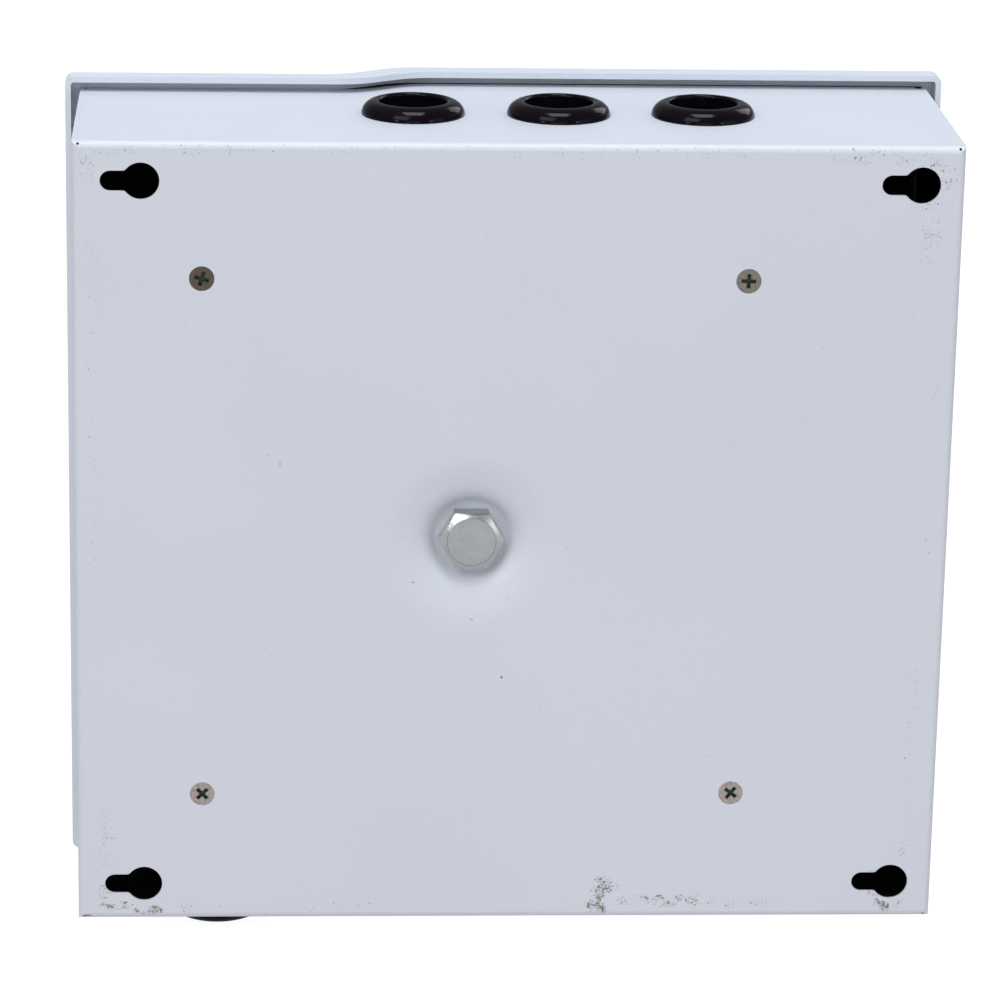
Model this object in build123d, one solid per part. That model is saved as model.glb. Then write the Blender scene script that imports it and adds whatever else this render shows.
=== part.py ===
from build123d import *
import os
from math import cos, radians, tan

# Wall-mounted residential load center with a bolt-clamped ring transformer.
# Frame: the wall is the plane Y = 0, the front faces -Y, +Z is up, and the origin is the
# centre of the back sheet. "Depth" is the distance in front of the wall, so Y = -depth.
# All lengths are millimetres.

os.makedirs("parts", exist_ok=True)

# ---- enclosure box -------------------------------------------------------------------------------
BOX_W = 260.0
BOX_H = 241.0
SHEET = 1.2
BEND_R = 2.0
BEND_INNER_R = 0.8
NOTCH_W_LOW = 0.9            # corner notch of the front edge, recessed side
NOTCH_W_HIGH = 2.0
NOTCH_DEPTH = 1.8
RELIEF_R = 0.4               # pinhole left at each back corner by the folding
RELIEF_DEPTH = 1.2
RELIEF_IN_X = 1.85
RELIEF_IN_Z = 0.75
BOX_EDGE_LOW = 76.4          # wall depth on the recessed side
BOX_EDGE_HIGH = 85.6         # wall depth on the raised side
HALF_W = BOX_W / 2
HALF_H = BOX_H / 2
BACK_Z = 0.0                 # height of the keyholes', screws' and dish's common centre

# ---- step of the cover and of the box's front edge -----------------------------------------------
STEP_X_LOW = 45.5
STEP_X_HIGH = 29.0
STEP_R = 20.0
STEP_SHIFT = 5.0             # the cover's outer face steps further towards +X
SEAM = 0.1                   # width and depth of the butt seams

# ---- front cover ---------------------------------------------------------------------------------
RIM_GAP = 2.75
RIM_WALL = 1.75
COVER_WALL = 2.0
REAR_LOW = 70.3
REAR_HIGH = 81.1
FRONT_LOW = 79.2
FRONT_HIGH = 90.5
COVER_HALF_W = HALF_W + RIM_GAP + RIM_WALL
COVER_HALF_H = HALF_H + RIM_GAP + RIM_WALL
COVER_CORNER_R = 2.4
COVER_EDGE_R = 2.0
COVER_SCREW_X = 118.0
COVER_SCREW_Z = 110.0
BOSS_R = 4.6

# ---- wall keyholes -------------------------------------------------------------------------------
KEYHOLE_SPACING_X = 227.5
KEYHOLE_SPACING_Z = 218.0
KEYHOLE_MID_X = -3.65
KEYHOLE_R = 5.45
KEYHOLE_SLOT_R = 3.0
KEYHOLE_TRAVEL = 8.8

# ---- centre bolt and its dish --------------------------------------------------------------------
BOLT_X = 12.5
BOLT_Z = BACK_Z - 0.3        # the weight of the transformer takes up the hole's play
DISH_DEPTH = 6.6
DISH_RIM_R = 22.5
DISH_LIP_R = 14.4
DISH_LIP_DEPTH = 2.0
DISH_FLOOR_R = 10.7
DISH_BLENDS = [40, 8.0, 2.5]  # radii of the rim, the lip and the floor's corner
BOLT_R = 5.0
BOLT_HOLE_R = 5.3
DISH_HOLE_R = 6.0
HEX_AF = 17.0
HEAD_H = 6.4
NUT_H = 8.0

# ---- equipment plate and its countersunk screws --------------------------------------------------
SCREW_SQUARE = 160.0
SCREW_HEAD_R = 3.72
SCREW_R = 2.0
PLATE_BACK = SHEET + DISH_DEPTH
PLATE_T = 1.5
PLATE_FRONT = PLATE_BACK + PLATE_T
PLATE_X = (-104.0, 112.0)
PLATE_HALF_H = 95.0
RECESS_ANGLES = {(1, 1): 17.0, (-1, 1): 2.0, (1, -1): 45.0, (-1, -1): 38.0}

# ---- cable grommets ------------------------------------------------------------------------------
GROMMET_FLANGE_R = 15.5
GROMMET_CROWN_R = 13.0
GROMMET_H = 4.7
GROMMET_BORE_R = 10.1
GROMMET_NECK_R = 12.5
TOP_GROMMETS = {"left": -56.8, "centre": -13.5, "right": 30.0}
TOP_GROMMET_DEPTH = 42.0
BOTTOM_GROMMET_X = 88.0
BOTTOM_GROMMET_DEPTH = 21.8

# ---- ring transformer ----------------------------------------------------------------------------
RING_R = 44.0
RING_EYE_R = 20.0
RING_H = 44.0
WRAP = 5.0
WINDING_SECTIONS = 12
PAD_T = 1.5

# ---- rail and breakers ---------------------------------------------------------------------------
RAIL_X = -78.0
RAIL_H = 7.5
RAIL_HALF_L = 75.4
RAIL_FACE = PLATE_FRONT + RAIL_H
POLE = 17.7
POLE_BODY = 17.5
BREAKERS = 6
STACK_TOP = (BREAKERS + 2) * POLE / 2
BODY_HALF_L = 38.0
SHOULDER = RAIL_FACE + 44.0
NOSE = RAIL_FACE + 60.0
NOSE_HALF = 22.5
HOOK_DEPTH = 5.0
TERMINAL_X = 31.0
TOGGLE_AXIS = NOSE - 5.0
DRUM_R = 7.0
LEVER_REACH = 14.0
LEVER_TILT = 32.0
TOGGLE_PIN_R = 1.2
PIVOT_PLAY = 0.05
MOVING_GAP = 0.3

# ---- door ----------------------------------------------------------------------------------------
PAN_X = (-118.2, -39.0)
PAN_HALF_H = 82.0
PAN_FLOOR = NOSE - 0.5
PAN_WALL = 2.0
DOOR_T = 2.2
DOOR_AXIS_X = -115.2
DOOR_AXIS_DEPTH = FRONT_HIGH - DOOR_T
DOOR_PIN_R = 1.0
PIN_END = PAN_HALF_H + 1.4   # the pins' blind holes in the pan's ends
DOOR_GAP = 0.4


# ---- small helpers -------------------------------------------------------------------------------
def block(x, depth, z):
    """Box from three (low, high) pairs: X, depth from the wall, Z."""
    size = [pair[1] - pair[0] for pair in (x, depth, z)]
    centre = ((x[0] + x[1]) / 2, -(depth[0] + depth[1]) / 2, (z[0] + z[1]) / 2)
    return Pos(*centre) * Box(*size)


def slab(sketch, depth0, depth1):
    """Extrude a sketch drawn in X and Z between two depths."""
    return extrude(Plane.XZ.offset(depth0) * sketch, depth1 - depth0)


def peg(x, z, radius, depth0, depth1):
    """Cylinder along the depth direction."""
    return slab(Pos(x, z) * Circle(radius), depth0, depth1)


def post(x, depth, radius, z0, z1):
    """Cylinder along Z."""
    return Pos(x, -depth, (z0 + z1) / 2) * Cylinder(radius, z1 - z0)


def along_z(points, z0, z1):
    """Extrude an outline of (X, depth) points along Z."""
    outline = [(x, -depth) for x, depth in points]
    return extrude(Pos(0, 0, z0) * make_face(Polyline(*outline, close=True)), z1 - z0)


def turned(points, x, z):
    """Turn a closed outline of (radius, depth) points about the depth axis through (x, z)."""
    outline = [(radius, -depth) for radius, depth in points]
    face = make_face(Polyline(*outline, close=True))
    return Pos(x, 0, z) * revolve(face, Axis.Y)


def together(solids):
    """One compound of separate solids."""
    return Compound(children=list(solids))


def save(shape, name):
    """Write one sub-part."""
    shape.label = name
    export_step(shape, f"parts/{name}.step")


def plate_screw_points():
    """Centres of the four countersunk screws, with the signs of their corner."""
    half = SCREW_SQUARE / 2
    return [(BOLT_X + sx * half, BACK_Z + sz * half, (sx, sz))
            for sx in (-1, 1) for sz in (-1, 1)]


def stepped_zone(low, high, shift=0.0):
    """Everything from behind the wall up to a front surface that steps from low to high."""
    reach = BOX_W
    path = FilletPolyline((reach, -low), (STEP_X_LOW + shift, -low), (STEP_X_HIGH + shift, -high),
                          (-reach, -high), radius=STEP_R)
    closing = Polyline((-reach, -high), (-reach, reach), (reach, reach), (reach, -low))
    face = make_face([path, closing])
    return extrude(Pos(0, 0, -reach) * face, 2 * reach)


# ---- enclosure -----------------------------------------------------------------------------------
def keyhole_sketch():
    """Round entry with a slot towards +X and eased inner corners."""
    slot = Pos(KEYHOLE_TRAVEL / 2, 0) * Rectangle(KEYHOLE_TRAVEL, 2 * KEYHOLE_SLOT_R)
    end = Pos(KEYHOLE_TRAVEL, 0) * Circle(KEYHOLE_SLOT_R)
    shape = Circle(KEYHOLE_R) + slot + end
    neck = (KEYHOLE_R**2 - KEYHOLE_SLOT_R**2) ** 0.5
    corners = [v for v in shape.vertices()
               if abs(v.X - neck) < 0.1 and abs(abs(v.Y) - KEYHOLE_SLOT_R) < 0.1]
    return fillet(corners, 1.2)


def keyhole_points():
    """Centres of the four round keyhole entries."""
    half_x = KEYHOLE_SPACING_X / 2
    half_z = KEYHOLE_SPACING_Z / 2
    return [(KEYHOLE_MID_X + sx * half_x, BACK_Z + sz * half_z)
            for sx in (-1, 1) for sz in (-1, 1)]


def dish_zone(grow):
    """Solid of revolution that fills the dish, or with grow its inner skin too."""
    top = HALF_H / 4
    path = FilletPolyline((top, 0), (DISH_RIM_R, 0), (DISH_LIP_R, -DISH_LIP_DEPTH),
                          (DISH_FLOOR_R, -DISH_DEPTH), (0, -DISH_DEPTH), radius=DISH_BLENDS)
    closing = Polyline((0, -DISH_DEPTH), (0, top), (top, top), (top, 0))
    face = make_face([path, closing])
    if grow:
        face = offset(face, amount=grow)
        face = face & (Pos(top, -top) * Rectangle(2 * top, 2 * top))
    return Pos(BOLT_X, 0, BACK_Z) * revolve(face, Axis.Y)


def box_shell():
    """Open-fronted folded box with rounded back bends and a stepped front edge."""
    depth = BOX_EDGE_HIGH + 10
    outer = block((-HALF_W, HALF_W), (0, depth), (-HALF_H, HALF_H))
    outer = fillet(outer.faces().sort_by(Axis.Y)[-1].edges(), BEND_R)
    inner = block((SHEET - HALF_W, HALF_W - SHEET), (SHEET, depth + 1),
                  (SHEET - HALF_H, HALF_H - SHEET))
    inner = fillet(inner.faces().sort_by(Axis.Y)[-1].edges(), BEND_INNER_R)
    return (outer - inner) & stepped_zone(BOX_EDGE_LOW, BOX_EDGE_HIGH)


def seam_cuts():
    """Butt seams of the folded walls on the left side, seen from the front as the right."""
    seam_x = HALF_W - SHEET
    cuts = []
    for sz in (-1, 1):
        outer_z = sz * HALF_H
        z_pair = sorted((outer_z - sz * SEAM, outer_z + sz))
        cuts.append(block((seam_x - SEAM, seam_x), (2 * BEND_R, BOX_EDGE_LOW + 1), z_pair))
    return cuts


def corner_notches():
    """Small reliefs at the folded corners: shallow at the back, open at the front edge."""
    cuts = []
    for sx in (-1, 1):
        edge = BOX_EDGE_LOW if sx > 0 else BOX_EDGE_HIGH
        width = NOTCH_W_LOW if sx > 0 else NOTCH_W_HIGH
        corner_x = HALF_W - SHEET
        for sz in (-1, 1):
            outer_z = sz * HALF_H
            notch_x = sorted((sx * (corner_x - width), sx * corner_x))
            notch_z = sorted((outer_z - sz * 2 * SHEET, outer_z + sz))
            cuts.append(block(notch_x, (edge - NOTCH_DEPTH, edge + 1), notch_z))
            cuts.append(peg(sx * (HALF_W - RELIEF_IN_X), outer_z - sz * RELIEF_IN_Z,
                            RELIEF_R, -1, RELIEF_DEPTH))
    return cuts


def enclosure_box():
    """Folded steel box: dished back, keyholes, screw holes and cable holes."""
    box = box_shell() + dish_zone(SHEET) - dish_zone(0)
    box -= peg(BOLT_X, BACK_Z, DISH_HOLE_R, DISH_DEPTH - 2, PLATE_BACK + 1)
    for x, z in keyhole_points():
        box -= slab(Pos(x, z) * keyhole_sketch(), -1, SHEET + 1)
    for x, z, _ in plate_screw_points():
        box -= screw_cone(x, z)
        box -= peg(x, z, SCREW_R + 0.1, 0, SHEET + 1)
    for x in TOP_GROMMETS.values():
        box -= post(x, TOP_GROMMET_DEPTH, GROMMET_NECK_R, HALF_H - 2 * SHEET, HALF_H + 1)
    box -= post(BOTTOM_GROMMET_X, BOTTOM_GROMMET_DEPTH, GROMMET_NECK_R,
                -HALF_H - 1, 2 * SHEET - HALF_H)
    for cut in seam_cuts() + corner_notches():
        box -= cut
    return box


def corner_bracket(sx, sz):
    """Welded corner tab that takes one cover screw."""
    edge = BOX_EDGE_LOW if sx > 0 else BOX_EDGE_HIGH
    front = edge - 1.3
    wall_x = HALF_W - SHEET
    wall_z = HALF_H - SHEET
    x_pair = sorted((sx * 111.5, sx * wall_x))
    z_pair = sorted((sz * 103.5, sz * wall_z))
    tab = block(x_pair, (front - 1.5, front), z_pair)
    flange = block(sorted((sx * (wall_x - 1.5), sx * wall_x)), (front - 20, front), z_pair)
    hole = peg(sx * COVER_SCREW_X, sz * COVER_SCREW_Z, 1.75, front - 5, front + 1)
    return tab + flange - hole


def corner_brackets():
    """The four welded corner tabs."""
    return together(corner_bracket(sx, sz) for sx in (-1, 1) for sz in (-1, 1))


def grommet():
    """Snap-in cable bush, its flange seat at Z = 0 and its crown towards +Z."""
    side = Polyline((GROMMET_NECK_R, 0), (GROMMET_FLANGE_R, 0), (GROMMET_FLANGE_R, 1.1))
    shoulder = RadiusArc((GROMMET_FLANGE_R, 1.1), (GROMMET_CROWN_R, GROMMET_H), -4.2)
    crown = Line((GROMMET_CROWN_R, GROMMET_H), (GROMMET_BORE_R + 1.1, GROMMET_H))
    lip = RadiusArc((GROMMET_BORE_R + 1.1, GROMMET_H), (GROMMET_BORE_R, GROMMET_H - 1.1), -1.1)
    inside = Polyline((GROMMET_BORE_R, GROMMET_H - 1.1), (GROMMET_BORE_R, -7),
                      (GROMMET_NECK_R + 0.1, -7), (GROMMET_NECK_R + 1.1, -SHEET),
                      (GROMMET_NECK_R, -SHEET), (GROMMET_NECK_R, 0))
    face = make_face([side, shoulder, crown, lip, inside])
    return revolve(Plane.XZ * face, Axis.Z)


def top_grommet(x):
    """Grommet in the top wall."""
    return Pos(x, -TOP_GROMMET_DEPTH, HALF_H) * grommet()


def bottom_grommet():
    """Grommet in the bottom wall, close to the back."""
    place = Pos(BOTTOM_GROMMET_X, -BOTTOM_GROMMET_DEPTH, -HALF_H)
    return place * Rot(180, 0, 0) * grommet()


# ---- fasteners -----------------------------------------------------------------------------------
def hexagon(across_flats):
    """Hexagon with flats up and down."""
    return RegularPolygon(across_flats / 2, 6, major_radius=False, rotation=0)


def hex_block(x, z, across_flats, depth0, depth1, bevel_back=False, bevel_front=False):
    """Hexagonal prism whose chosen ends are bevelled to a circle."""
    body = slab(Pos(x, z) * hexagon(across_flats), depth0, depth1)
    corner = across_flats / 2 / cos(radians(30)) + 0.2
    face_r = across_flats * 0.43
    drop = (corner - face_r) * tan(radians(30))
    outline = [(0, depth0)]
    outline += [(face_r, depth0), (corner, depth0 + drop)] if bevel_back else [(corner, depth0)]
    outline += [(corner, depth1 - drop), (face_r, depth1)] if bevel_front else [(corner, depth1)]
    outline += [(0, depth1)]
    return body & turned(outline, x, z)


def screw_cone(x, z):
    """Countersink cone that opens at the wall plane."""
    reach = SCREW_HEAD_R - SCREW_R
    return turned([(0, -0.5), (SCREW_HEAD_R, -0.5), (SCREW_HEAD_R, 0.05),
                   (SCREW_R, reach + 0.05), (0, reach + 0.05)], x, z)


def cross_recess(x, z, angle, depth0, depth1, span, width):
    """Cross-shaped driver recess."""
    arms = Rectangle(span, width) + Rectangle(width, span)
    arms = arms + Circle(width * 0.75)
    return slab(Pos(x, z) * Rot(0, 0, angle) * arms, depth0, depth1)


def rear_screw(x, z, angle):
    """Countersunk screw, driven from the wall side."""
    reach = SCREW_HEAD_R - SCREW_R
    body = turned([(0, 0.05), (SCREW_HEAD_R - 0.02, 0.05), (SCREW_R, reach + 0.03),
                   (SCREW_R, PLATE_FRONT + 4.2), (SCREW_R - 0.5, PLATE_FRONT + 4.7),
                   (0, PLATE_FRONT + 4.7)], x, z)
    return body - cross_recess(x, z, angle, -1, 1.5, 4.3, 1.15)


def rear_screws():
    """The four countersunk screws that carry the equipment plate."""
    return together(rear_screw(x, z, RECESS_ANGLES[corner])
                    for x, z, corner in plate_screw_points())


def plate_standoff(x, z):
    """Round spacer between the back sheet and the equipment plate."""
    body = peg(x, z, 4.5, SHEET, PLATE_BACK)
    return body - peg(x, z, SCREW_R + 0.1, 0, PLATE_BACK + 1) - screw_cone(x, z)


def plate_standoffs():
    """The four spacers."""
    return together(plate_standoff(x, z) for x, z, _ in plate_screw_points())


def plate_nuts():
    """The four nuts on the front of the equipment plate."""
    return together(hex_block(x, z, 7.0, PLATE_FRONT, PLATE_FRONT + 3.2, bevel_front=True)
                    - peg(x, z, SCREW_R, PLATE_FRONT - 1, PLATE_FRONT + 5)
                    for x, z, _ in plate_screw_points())


def slotted_screw(x, z, radius, shank_r, seat, head_h, tail):
    """Cheese-head screw whose head stands on a seat depth, with its tail deeper in."""
    body = peg(x, z, radius, seat, seat + head_h) + peg(x, z, shank_r, tail, seat)
    slot = block((x - radius - 1, x + radius + 1), (seat + head_h * 0.5, seat + head_h + 1),
                 (z - 0.5, z + 0.5))
    return body - slot


# ---- equipment plate and transformer -------------------------------------------------------------
def equipment_plate():
    """Flat steel plate that carries the rail, the bars and the transformer."""
    outline = RectangleRounded(PLATE_X[1] - PLATE_X[0], 2 * PLATE_HALF_H, 4)
    plate = slab(Pos((PLATE_X[0] + PLATE_X[1]) / 2, 0) * outline, PLATE_BACK, PLATE_FRONT)
    plate -= peg(BOLT_X, BACK_Z, DISH_HOLE_R, PLATE_BACK - 1, PLATE_FRONT + 1)
    for x, z, _ in plate_screw_points():
        plate -= peg(x, z, SCREW_R + 0.1, PLATE_BACK - 1, PLATE_FRONT + 1)
    for x, z, radius in plate_tapped_holes():
        plate -= peg(x, z, radius, PLATE_BACK - 1, PLATE_FRONT + 1)
    return plate


RING_BACK = PLATE_FRONT + PAD_T
RING_FRONT = RING_BACK + RING_H
CLAMP_SEAT = RING_FRONT + PAD_T
CLAMP_T = 2.0
CLAMP_SINK = 4.0
CLAMP_R = 36.0
NUT_SEAT = CLAMP_SEAT - CLAMP_SINK + CLAMP_T + 2.0


def pad_ring(depth0):
    """Rubber ring between the transformer and what clamps it."""
    ring = Circle(RING_R - 1) - Circle(RING_EYE_R + 1)
    return slab(Pos(BOLT_X, BOLT_Z) * ring, depth0, depth0 + PAD_T)


def transformer_core():
    """Wound strip core, rectangular in section."""
    ring = Circle(RING_R - WRAP) - Circle(RING_EYE_R + WRAP)
    return slab(Pos(BOLT_X, BOLT_Z) * ring, RING_BACK + WRAP, RING_FRONT - WRAP)


def transformer_winding():
    """Taped winding round the core, in equal sections with a narrow gap between them."""
    middle = ((RING_R + RING_EYE_R) / 2, -(RING_BACK + RING_FRONT) / 2)
    section = Pos(*middle) * RectangleRounded(RING_R - RING_EYE_R, RING_H, 6)
    inside = Pos(*middle) * Rectangle(RING_R - RING_EYE_R - 2 * WRAP, RING_H - 2 * WRAP)
    pitch = 360 / WINDING_SECTIONS
    gap = 0.6
    coil = revolve(section - inside, Axis.Y, revolution_arc=pitch - gap)
    return together(Pos(BOLT_X, 0, BOLT_Z) * Rot(0, i * pitch, 0) * coil
                    for i in range(WINDING_SECTIONS))


def clamp_plate():
    """Dished steel disc whose sunk centre carries the nut."""
    front = CLAMP_SEAT + CLAMP_T
    sunk = CLAMP_SEAT - CLAMP_SINK
    outline = [(BOLT_HOLE_R, sunk), (12, sunk), (16, CLAMP_SEAT), (CLAMP_R, CLAMP_SEAT),
               (CLAMP_R, front), (15, front), (11, sunk + CLAMP_T), (BOLT_HOLE_R, sunk + CLAMP_T)]
    return turned(outline, BOLT_X, BOLT_Z)


def centre_washer():
    """Washer under the nut."""
    ring = Circle(10) - Circle(BOLT_HOLE_R)
    return slab(Pos(BOLT_X, BOLT_Z) * ring, NUT_SEAT - 2, NUT_SEAT)


def centre_bolt():
    """Hexagon bolt, its head sunk in the dish of the back sheet."""
    head = hex_block(BOLT_X, BOLT_Z, HEX_AF, DISH_DEPTH - HEAD_H, DISH_DEPTH, bevel_back=True)
    shank = peg(BOLT_X, BOLT_Z, BOLT_R, DISH_DEPTH, NUT_SEAT + NUT_H + 3)
    tip = shank.faces().sort_by(Axis.Y)[0].edges()
    return head + chamfer(tip, 1)


def centre_nut():
    """Nut that clamps the transformer."""
    nut = hex_block(BOLT_X, BOLT_Z, HEX_AF, NUT_SEAT, NUT_SEAT + NUT_H,
                    bevel_back=True, bevel_front=True)
    return nut - peg(BOLT_X, BOLT_Z, BOLT_R, NUT_SEAT - 1, NUT_SEAT + NUT_H + 1)


# ---- rail ----------------------------------------------------------------------------------------
RAIL_SCREW_Z = (-50.0, 50.0)
RAIL_T = 1.0


def din_rail():
    """Top-hat rail, 35 mm wide, upright on the plate."""
    floor = 13.5
    brim = 17.5
    back = PLATE_FRONT
    outline = [(-brim, RAIL_FACE), (-floor + RAIL_T, RAIL_FACE), (-floor + RAIL_T, back + RAIL_T),
               (floor - RAIL_T, back + RAIL_T), (floor - RAIL_T, RAIL_FACE), (brim, RAIL_FACE),
               (brim, RAIL_FACE - RAIL_T), (floor, RAIL_FACE - RAIL_T), (floor, back),
               (-floor, back), (-floor, RAIL_FACE - RAIL_T), (-brim, RAIL_FACE - RAIL_T)]
    rail = along_z([(RAIL_X + x, depth) for x, depth in outline], -RAIL_HALF_L, RAIL_HALF_L)
    for z in RAIL_SCREW_Z:
        rail -= peg(RAIL_X, z, 2.0, back - 1, back + 3)
    return rail


def rail_screws():
    """Two screws that hold the rail to the plate."""
    seat = PLATE_FRONT + RAIL_T
    return together(slotted_screw(RAIL_X, z, 3.8, 2.0, seat, 2.4, PLATE_BACK - 3)
                    for z in RAIL_SCREW_Z)


def rail_hook_points(half, back_edge):
    """Back of a rail-mounted body: two hooks round the rail's brims, as (x, depth)."""
    lip = RAIL_FACE - RAIL_T - 0.2
    back = RAIL_FACE - HOOK_DEPTH
    return [(half, back_edge), (half - 2, back), (15.3, back), (15.3, lip), (17.7, lip),
            (17.7, RAIL_FACE), (-17.7, RAIL_FACE), (-17.7, lip), (-15.3, lip), (-15.3, back),
            (2 - half, back), (-half, back_edge)]


def rail_stop(z0):
    """Slim end stop clipped to the rail."""
    front = RAIL_FACE + 26
    points = [(-24, front), (24, front)] + rail_hook_points(24, RAIL_FACE - HOOK_DEPTH + 2)
    stop = along_z([(RAIL_X + x, depth) for x, depth in points], z0, z0 + 4.3)
    return stop - peg(RAIL_X, z0 + 2.15, 1.2, RAIL_FACE + 18, front + 1)


# ---- breakers ------------------------------------------------------------------------------------
def breaker_outline():
    """Side outline of a breaker as (x, depth) points."""
    front = [(-BODY_HALF_L, SHOULDER - 3), (2 - BODY_HALF_L, SHOULDER), (-NOSE_HALF - 2, SHOULDER),
             (-NOSE_HALF, NOSE), (NOSE_HALF, NOSE), (NOSE_HALF + 2, SHOULDER),
             (BODY_HALF_L - 2, SHOULDER), (BODY_HALF_L, SHOULDER - 3)]
    points = front + rail_hook_points(BODY_HALF_L, RAIL_FACE - HOOK_DEPTH + 2)
    return [(RAIL_X + x, depth) for x, depth in points]


def pole_centres(centre, poles):
    """Z of each pole of a body."""
    return [centre + (i - (poles - 1) / 2) * POLE for i in range(poles)]


def toggle_half_width(poles):
    """Half the width of the toggle's slot."""
    return 5.0 if poles == 1 else 12.0


def breaker_body(centre, poles):
    """Moulded case with terminal wells, cable entries and the slot for its toggle."""
    half = (poles * POLE - (POLE - POLE_BODY)) / 2
    case = along_z(breaker_outline(), centre - half, centre + half)
    for z in pole_centres(centre, poles):
        for side in (-1, 1):
            x = RAIL_X + side * TERMINAL_X
            case -= peg(x, z, 3.2, SHOULDER - 16, SHOULDER + 1)
            entry = sorted((RAIL_X + side * 26, RAIL_X + side * (BODY_HALF_L + 1)))
            case -= block(entry, (34, 43), (z - 4.5, z + 4.5))
    slot = toggle_half_width(poles)
    case -= block((RAIL_X - DRUM_R - 0.5, RAIL_X + DRUM_R + 0.5), (NOSE - 13, NOSE + 1),
                  (centre - slot, centre + slot))
    case -= post(RAIL_X, TOGGLE_AXIS, TOGGLE_PIN_R, centre - slot - 2, centre + slot + 2)
    return case


def toggle_pin(centre, poles):
    """Steel pin that the toggle turns on."""
    slot = toggle_half_width(poles)
    return post(RAIL_X, TOGGLE_AXIS, TOGGLE_PIN_R, centre - slot - 2, centre + slot + 2)


def toggle(centre, poles):
    """Drum with a tapered lever, tilted to the off side."""
    half = toggle_half_width(poles) - MOVING_GAP
    root = 2.6
    tip = 1.7
    lever = make_face(Polyline((-root, 0), (-tip, -LEVER_REACH), (tip, -LEVER_REACH), (root, 0),
                               close=True))
    ends = [v for v in lever.vertices() if v.Y < -1]
    lever = Rot(0, 0, -LEVER_TILT) * fillet(ends, 1.2)
    drum = extrude(Pos(0, 0, -half) * Circle(DRUM_R), 2 * half)
    blade = extrude(Pos(0, 0, -half + 0.8) * lever, 2 * half - 1.6)
    body = drum + blade
    body -= Cylinder(TOGGLE_PIN_R + PIVOT_PLAY, 3 * half)
    return Pos(RAIL_X, -TOGGLE_AXIS, centre) * body


def breaker_centre(number):
    """Z of a single-pole breaker, counted down from the main switch."""
    return STACK_TOP - 2 * POLE - (number - 0.5) * POLE


MAIN_CENTRE = STACK_TOP - POLE
STACK = [(MAIN_CENTRE, 2)] + [(breaker_centre(n + 1), 1) for n in range(BREAKERS)]


def terminal_screws():
    """Clamp screws at the bottom of the breakers' terminal wells."""
    seat = SHOULDER - 16
    screws = []
    for centre, poles in STACK:
        for z in pole_centres(centre, poles):
            for side in (-1, 1):
                screws.append(peg(RAIL_X + side * TERMINAL_X, z, 3.1, seat, seat + 9)
                              - cross_recess(RAIL_X + side * TERMINAL_X, z, 20, seat + 7,
                                             seat + 10, 4.2, 1.0))
    return together(screws)


COMB_X = RAIL_X + BODY_HALF_L + 0.8


def comb_busbar():
    """Copper comb that feeds every breaker from the main switch."""
    strip = block((COMB_X, COMB_X + 1.5), (32, 46), (-STACK_TOP + 3, STACK_TOP - 3))
    for centre, poles in STACK:
        for z in pole_centres(centre, poles):
            strip += block((COMB_X - 10, COMB_X), (37.5, 39.5), (z - 2, z + 2))
    return strip


def comb_insulator():
    """Plastic backing of the comb."""
    return block((COMB_X + 1.5, COMB_X + 3), (30, 48), (-STACK_TOP + 1, STACK_TOP - 1))


# ---- bars and terminal block ---------------------------------------------------------------------
BAR_X = (-24.0, 60.0)
BAR_Z = 82.0
BAR_HALF = 4.5
BAR_WAYS = 10
BAR_PITCH = 8.0
NEUTRAL_SEAT = PLATE_FRONT + 14
EARTH_SEAT = PLATE_FRONT + 4
BAR_T = 9.0
BLOCK_X = (82.0, 104.0)
BLOCK_WAYS = 9
BLOCK_PITCH = 10.0
BLOCK_T = 22.0


def bar_points():
    """X of each clamp screw of a bar."""
    first = (BAR_X[0] + BAR_X[1]) / 2 - (BAR_WAYS - 1) * BAR_PITCH / 2
    return [first + i * BAR_PITCH for i in range(BAR_WAYS)]


def clamp_bar(z, seat):
    """Brass bar with a row of wire holes, each crossed by a screw hole."""
    bar = block(BAR_X, (seat, seat + BAR_T), (z - BAR_HALF, z + BAR_HALF))
    for x in bar_points():
        bar -= post(x, seat + 4, 2.3, z - 10, z + 10)
        bar -= peg(x, z, 1.7, seat + 4, seat + BAR_T + 1)
    return bar


def bar_screws(z, seat):
    """Clamp screws of a bar."""
    top = seat + BAR_T
    return together(slotted_screw(x, z, 2.6, 1.7, top, 2.0, top - 2.7) for x in bar_points())


def bar_feet(z, seat, half_x, half_z):
    """Two feet between the plate and a bar."""
    feet = [block((x - half_x, x + half_x), (PLATE_FRONT, seat), (z - half_z, z + half_z))
            for x in (BAR_X[0] + 4, BAR_X[1] - 4)]
    return together(feet)


def block_rows():
    """Z of each way of the terminal block."""
    return [(i - (BLOCK_WAYS - 1) / 2) * BLOCK_PITCH for i in range(BLOCK_WAYS)]


def terminal_block():
    """Barrier strip with a well at each end of every way."""
    half = BLOCK_WAYS * BLOCK_PITCH / 2 + 4
    front = PLATE_FRONT + BLOCK_T
    body = block(BLOCK_X, (PLATE_FRONT, front), (-half, half))
    middle = (BLOCK_X[0] + BLOCK_X[1]) / 2
    for z in block_rows():
        for side in (-1, 1):
            reach = sorted((middle + side * 2.5, middle + side * 12))
            body -= block(reach, (front - 9, front + 1), (z - 3.9, z + 3.9))
    return body


def terminal_block_screws():
    """Screws in the wells of the terminal block."""
    seat = PLATE_FRONT + BLOCK_T - 9
    middle = (BLOCK_X[0] + BLOCK_X[1]) / 2
    return together(peg(middle + side * 6.5, z, 2.6, seat, seat + 3)
                    - cross_recess(middle + side * 6.5, z, 30, seat + 1.8, seat + 4, 3.6, 0.9)
                    for z in block_rows() for side in (-1, 1))


def plate_tapped_holes():
    """Holes of the rail screws in the plate, as (x, z, radius)."""
    return [(RAIL_X, z, 2.0) for z in RAIL_SCREW_Z]


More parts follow.
